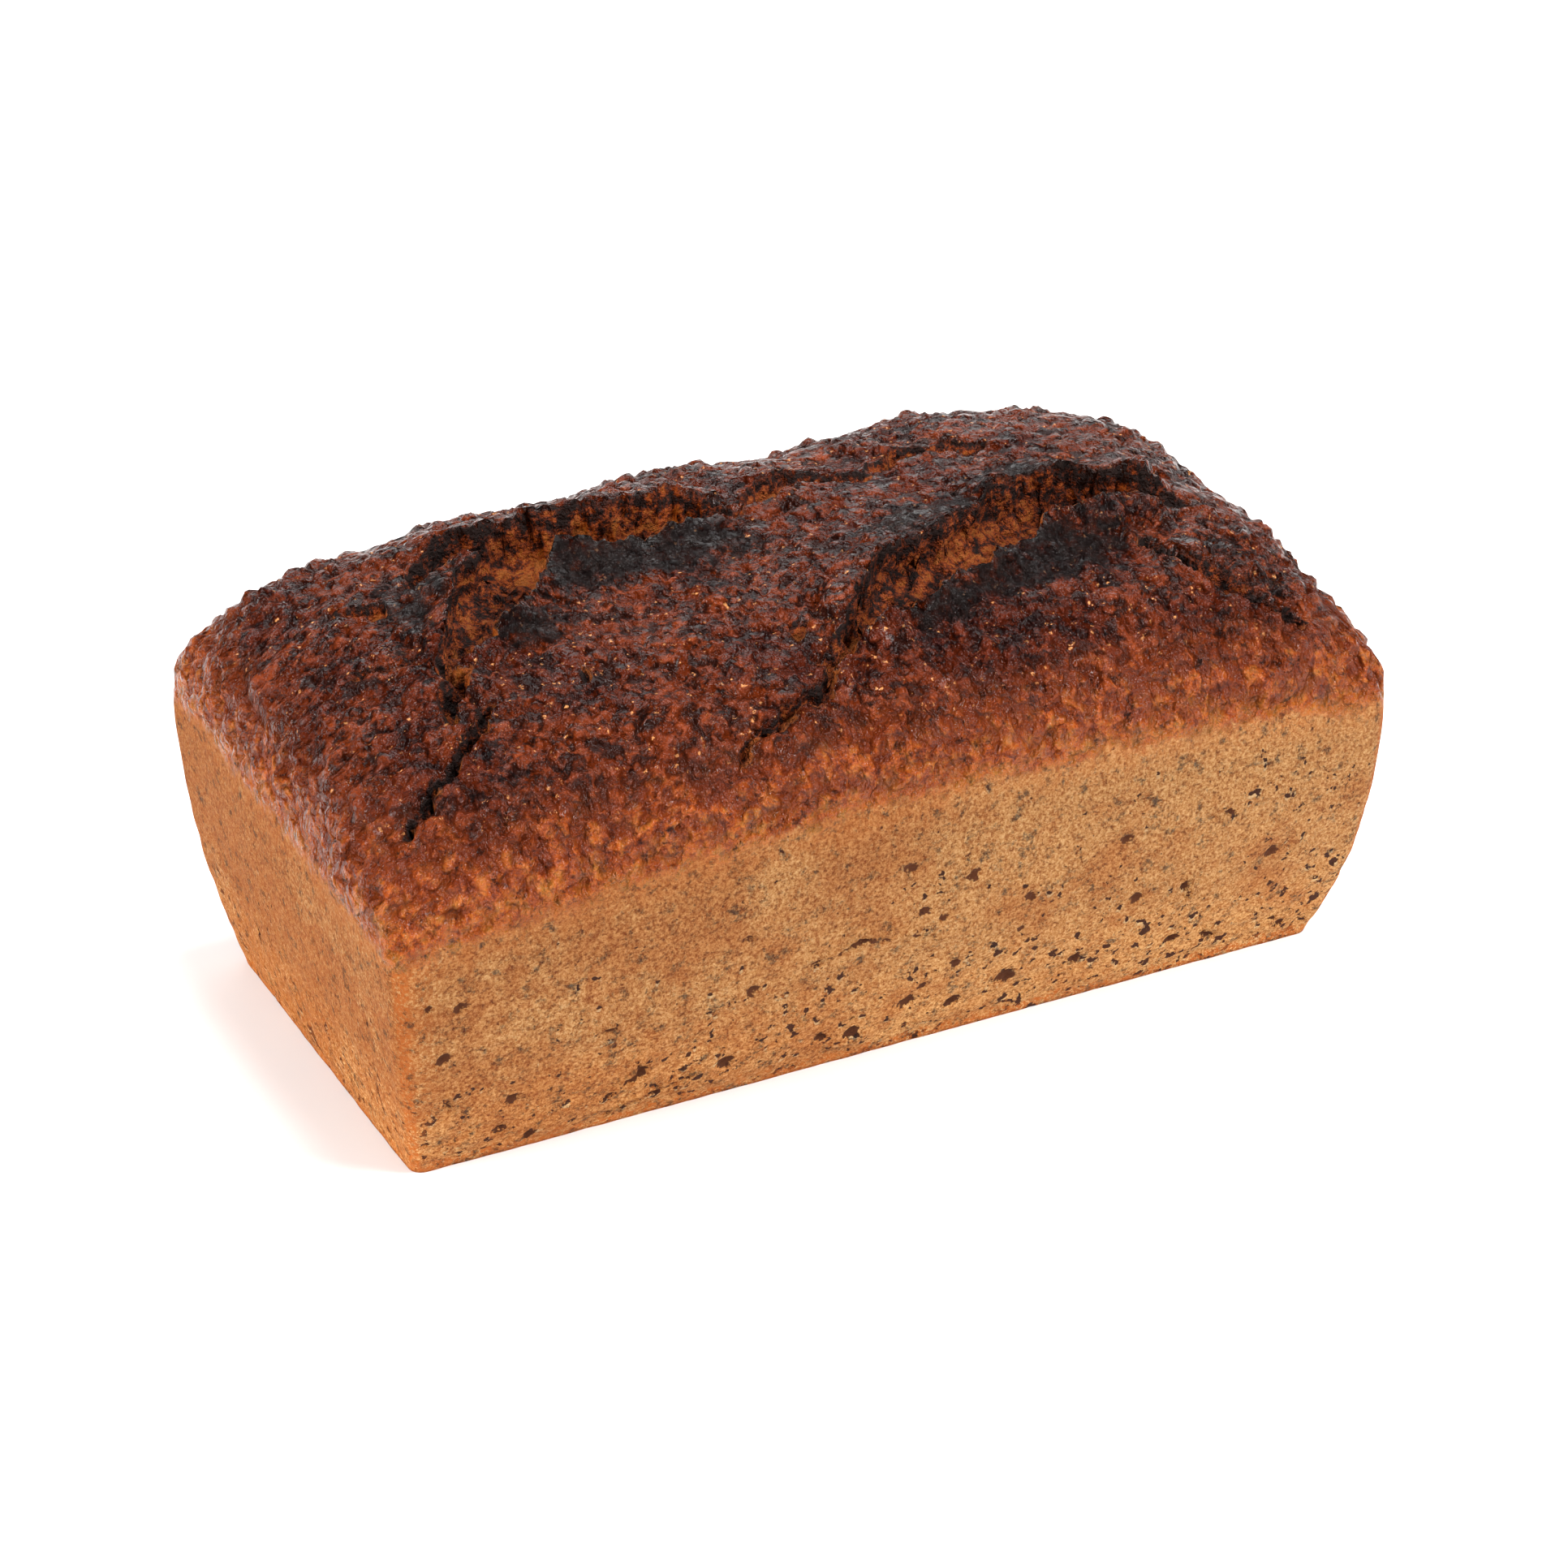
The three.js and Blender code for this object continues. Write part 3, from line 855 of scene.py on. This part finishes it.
def crust_finish(look):
    """The whole loaf's finish. The point attributes say where the crown, splits, char and pores are,
    and noise breaks up the edge of each."""
    r = Recipe("baked_crust")
    rise, opening, back = r.read("rise"), r.read("opening"), r.read("back_side")
    hanging = r.stretched(1, 1, 0.75)
    cell = r.cells(2.2, r.bent(hanging, 3, 1.8))
    bead = r.minus(1.0, r.times(cell, cell, 2.6))
    lumpy = r.noise(2.9, 3, 0.55, hanging)
    coarse = r.noise(5.5, 3, 0.6, hanging)
    fine = r.noise(0.6, 2, 0.6)
    dome = r.plus(r.times(bead, 0.2), r.times(r.read("knob"), 0.2))
    dome = r.plus(dome, r.swing(lumpy, 0.44, 1.6), r.swing(coarse, 0.48, 1.4))

    wall, wall_height = wall_colour(r, look, rise)
    browned = r.plus(rise, r.swing(r.noise(8, 6, 0.74), 0.5, 22))
    colour = r.mix(r.band(browned, -1.2, 1.6), wall, shoulder_colour(r, look, dome, browned))
    colour = r.mix(r.band(browned, 10, 25), colour, crown_colour(r, look, dome))
    scorch = r.plus(r.read("char"), r.swing(r.noise(3.6, 7, 0.8), 0.5, 4.0))
    colour = r.tinted(r.band(scorch, 0.1, 0.6), colour, SCORCH_TINT)
    charred = r.band(scorch, 0.45, 1.3)
    colour = r.mix(charred, colour, look.char_colour)
    inside = r.band(r.plus(opening, r.swing(r.noise(1.5, 3), 0.5, 1.6)), -0.2, 0.25)
    colour = r.mix(inside, colour, crumb_colour(r, look, opening, back))
    # Painted shade: the pores are painted dark brown.
    porous = r.band(r.plus(r.read("pore"), r.swing(r.noise(1.3, 3), 0.5, 2.6)), -0.05, 0.2)
    colour = r.mix(porous, colour, SHADED_PORE_COLOUR)

    on_crown = r.band(browned, -2, 2.5)
    gloss = r.mix_value(r.band(r.noise(3, 4, 0.7), 0.42, 0.58), *CROWN_ROUGHNESSES)
    roughness = r.mix_value(on_crown, DRY_ROUGHNESS, gloss)
    roughness = r.mix_value(charred, roughness, CHAR_ROUGHNESS)
    roughness = r.mix_value(inside, roughness, DRY_ROUGHNESS)

    blisters = r.times(charred, r.minus(r.noise(1.8, 2), 0.5), 4.0)
    beads = r.plus(r.times(bead, 0.6), r.times(lumpy, 5.2), r.swing(coarse, 1.25, 2.8))
    beads = r.plus(beads, r.times(fine, 0.35), blisters)
    crumbs = r.plus(r.times(r.noise(2.6, 4, 0.6), 5.0), r.times(fine, 0.8))
    height = r.mix_value(on_crown, wall_height, beads)
    height = r.mix_value(inside, height, crumbs)
    bump = look.grain_height / MM
    return r.finish(colour, roughness, height, bump, IOR=CRUST_IOR, Specular_IOR_Level=CRUST_SPECULAR)


def floor_finish(stage):
    """Pale floor with a barely mottled colour."""
    r = Recipe("studio_floor")
    tone = tuple(stage.floor_colour)
    shade = tuple(part * FLOOR_SHADE for part in tone)
    colour = r.ramp(r.noise(90, 2), (0.3, shade), (0.7, tone))
    return r.finish(colour, FLOOR_ROUGHNESS, r.noise(3, 2), FLOOR_BUMP)


# ---- settings -------------------------------------------------------------------------------


def length_setting(name, default, description):
    return bpy.props.FloatProperty(
        name=name, default=default, description=description, min=0, subtype="DISTANCE",
        unit="LENGTH", precision=4,
    )


def colour_setting(name, default, description):
    return bpy.props.FloatVectorProperty(
        name=name, default=default, description=description, size=3, min=0, max=1, subtype="COLOR"
    )


def power_setting(name, default, description):
    return bpy.props.FloatProperty(
        name=name, default=default, description=description, min=0, subtype="POWER", unit="POWER"
    )


def angle_setting(name, degrees, description):
    return bpy.props.FloatProperty(
        name=name, default=math.radians(degrees), description=description, subtype="ANGLE"
    )


class TinLoafLook(bpy.types.PropertyGroup):
    """Sizes and colours of the loaf."""

    length: length_setting("Length", LOAF_HIGH.x - LOAF_LOW.x, "Length of the loaf at the tin's rim")
    width: length_setting("Width", LOAF_HIGH.y - LOAF_LOW.y, "Width of the loaf at the tin's rim")
    base_length: length_setting("Base Length", 0.215, "Length of the flat base")
    base_width: length_setting("Base Width", 0.098, "Width of the flat base")
    knob_height: length_setting("Knob Height", 0.0022, "Height of the knobs on the top crust")
    lip_height: length_setting("Lip Height", 0.0042, "How far the crust stands up along a deep split")
    grain_height: length_setting("Grain Height", 0.001, "Height of the crust's finest grain")
    pore_amount: bpy.props.FloatProperty(
        name="Pores", default=1.0, min=0, max=2, subtype="FACTOR",
        description="How open the walls' pores are",
    )
    crust_colour: colour_setting("Top Crust", (0.092, 0.0165, 0.0055), "Most of the top crust")
    wall_colour: colour_setting("Walls", (0.63, 0.29, 0.087), "Walls that the tin pressed smooth")
    shoulder_colour: colour_setting("Shoulder", (0.25, 0.067, 0.0115), "Crust just above the tin line")
    wall_warm_colour: colour_setting("Wall Clouds", (0.84, 0.68, 0.56), "Tint of the walls' browner patches")
    crumb_colour: colour_setting("Crumb", (0.15, 0.024, 0.0018), "Torn crumb near a split's front lip")
    flake_colour: colour_setting("Flakes", (0.85, 0.58, 0.28), "Pale lips of the walls' pores")
    char_colour: colour_setting("Char", (0.009, 0.0065, 0.006), "Charred crust")
    bran_colour: colour_setting("Bran", (0.4, 0.17, 0.06), "Specks of bran in the crust")


class TinLoafStage(bpy.types.PropertyGroup):
    """The studio's floor, light and camera."""

    floor_size: length_setting("Floor", 6.0, "Side of the square floor")
    floor_colour: colour_setting("Floor Colour", (0.69, 0.66, 0.65), "Colour of the floor")
    sky_strength: bpy.props.FloatProperty(
        name="Surrounding Light", default=0.62, min=0, description="Strength of the even light from all round"
    )
    key_power: power_setting("Key Light", 22.0, "Power of the light overhead")
    side_power: power_setting("Side Light", 32.0, "Power of the light at the left")
    back_power: power_setting("Back Light", 6.5, "Power of the light behind")
    front_power: power_setting("Front Light", 8.0, "Power of the low light in front")
    spark_power: power_setting("Spark Light", 24.0, "Power of the small light that makes the crust glint")
    aim: bpy.props.FloatVectorProperty(
        name="Aim", default=(0.0004, -0.0024, 0.0412), subtype="TRANSLATION", unit="LENGTH",
        description="Point that the camera looks at",
    )
    distance: length_setting("Distance", 0.9346, "Distance from the camera to its aim")
    azimuth: angle_setting("Azimuth", -26.61, "Turn of the view about the loaf")
    elevation: angle_setting("Elevation", 28.29, "Angle of the view above level")
    roll: angle_setting("Roll", 0.352, "Turn of the camera about its own axis")
    lens: bpy.props.FloatProperty(
        name="Lens", default=99.24, min=1, subtype="DISTANCE_CAMERA", description="Focal length in millimetres"
    )


# ---- operators ------------------------------------------------------------------------------


class LoafCrust(bpy.types.Operator):
    """Shape the loaf's crust and give it its finish"""

    bl_idname = "tin_loaf.crust"
    bl_label = "Loaf"

    def execute(self, context):
        look = context.scene.tin_loaf_look
        points, quads, belt, reads = shape_loaf(look)
        piece = put_in_scene("loaf_crust", points, quads, belt, reads)
        piece.data.materials.append(crust_finish(look))
        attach(piece, BODY)
        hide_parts(NODE)
        return {"FINISHED"}


def lay_floor(stage):
    """A square floor with its top at the height of the loaf's base."""
    half = stage.floor_size / MM / 2
    corners = np.array([[-half, -half, 0], [half, -half, 0], [half, half, 0], [-half, half, 0]])
    no_triangles = np.empty((0, 3), int)
    floor = put_in_scene("studio_floor", corners, np.array([[0, 1, 2, 3]]), no_triangles, {})
    floor.data.materials.append(floor_finish(stage))


def light_sky(stage):
    """Even white light from all round, which the glossy crust doesn't mirror."""
    sky = bpy.data.worlds.new("studio_sky")
    sky.use_nodes = True
    background = sky.node_tree.nodes["Background"]
    background.inputs["Color"].default_value = WHITE
    background.inputs["Strength"].default_value = stage.sky_strength
    sky.cycles_visibility.glossy = False
    bpy.context.scene.world = sky


def hang_lamp(name, power, size, place, glints):
    """A soft square lamp that faces the loaf. Only one that glints is seen reflected."""
    light = bpy.data.lights.new(name, "AREA")
    light.energy = power
    light.size = size
    lamp = bpy.data.objects.new(name, light)
    lamp.location = place
    lamp.visible_glossy = glints
    lamp.rotation_euler = (Vector(LAMP_AIM) - Vector(place)).to_track_quat("-Z", "Y").to_euler()
    bpy.context.scene.collection.objects.link(lamp)


def place_camera(stage):
    """Puts the camera on a sphere around its aim, and rolls it about its own axis."""
    turn, tilt = stage.azimuth, stage.elevation
    away = Vector((math.sin(turn) * math.cos(tilt), -math.cos(turn) * math.cos(tilt), math.sin(tilt)))
    camera = bpy.data.objects.new("camera", bpy.data.cameras.new("camera"))
    camera.data.lens = stage.lens
    camera.data.sensor_width = SENSOR_WIDTH
    facing = (-away).to_track_quat("-Z", "Y").to_matrix().to_4x4()
    place = Matrix.Translation(Vector(stage.aim) + away * stage.distance)
    camera.matrix_world = place @ facing @ Matrix.Rotation(-stage.roll, 4, "Z")
    bpy.context.scene.collection.objects.link(camera)
    bpy.context.scene.camera = camera


class LoafStage(bpy.types.Operator):
    """Lay the floor, hang the lights and place the camera"""

    bl_idname = "tin_loaf.stage"
    bl_label = "Studio"

    def execute(self, context):
        stage = context.scene.tin_loaf_stage
        lay_floor(stage)
        light_sky(stage)
        context.scene.view_settings.view_transform = "Standard"
        for name, power, size, place, glints in LAMPS:
            hang_lamp(name, getattr(stage, power), size, place, glints)
        place_camera(stage)
        return {"FINISHED"}


class LoafPanel(bpy.types.Panel):
    """The loaf's pieces, sizes and colours"""

    bl_idname = "VIEW3D_PT_tin_loaf"
    bl_label = "Tin Loaf"
    bl_space_type = "VIEW_3D"
    bl_region_type = "UI"
    bl_category = "Tin Loaf"

    def draw(self, context):
        for operator, settings in ((LoafCrust, "tin_loaf_look"), (LoafStage, "tin_loaf_stage")):
            box = self.layout.box()
            box.operator(operator.bl_idname)
            group = getattr(context.scene, settings)
            for key in group.__annotations__:
                box.prop(group, key)


CLASSES = (TinLoafLook, TinLoafStage, LoafCrust, LoafStage, LoafPanel)


def register():
    for cls in CLASSES:
        bpy.utils.register_class(cls)
    bpy.types.Scene.tin_loaf_look = bpy.props.PointerProperty(type=TinLoafLook)
    bpy.types.Scene.tin_loaf_stage = bpy.props.PointerProperty(type=TinLoafStage)


def unregister():
    del bpy.types.Scene.tin_loaf_stage
    del bpy.types.Scene.tin_loaf_look
    for cls in reversed(CLASSES):
        bpy.utils.unregister_class(cls)


def main():
    register()
    bpy.ops.tin_loaf.stage()
    bpy.ops.tin_loaf.crust()


if __name__ == "__main__":
    main()
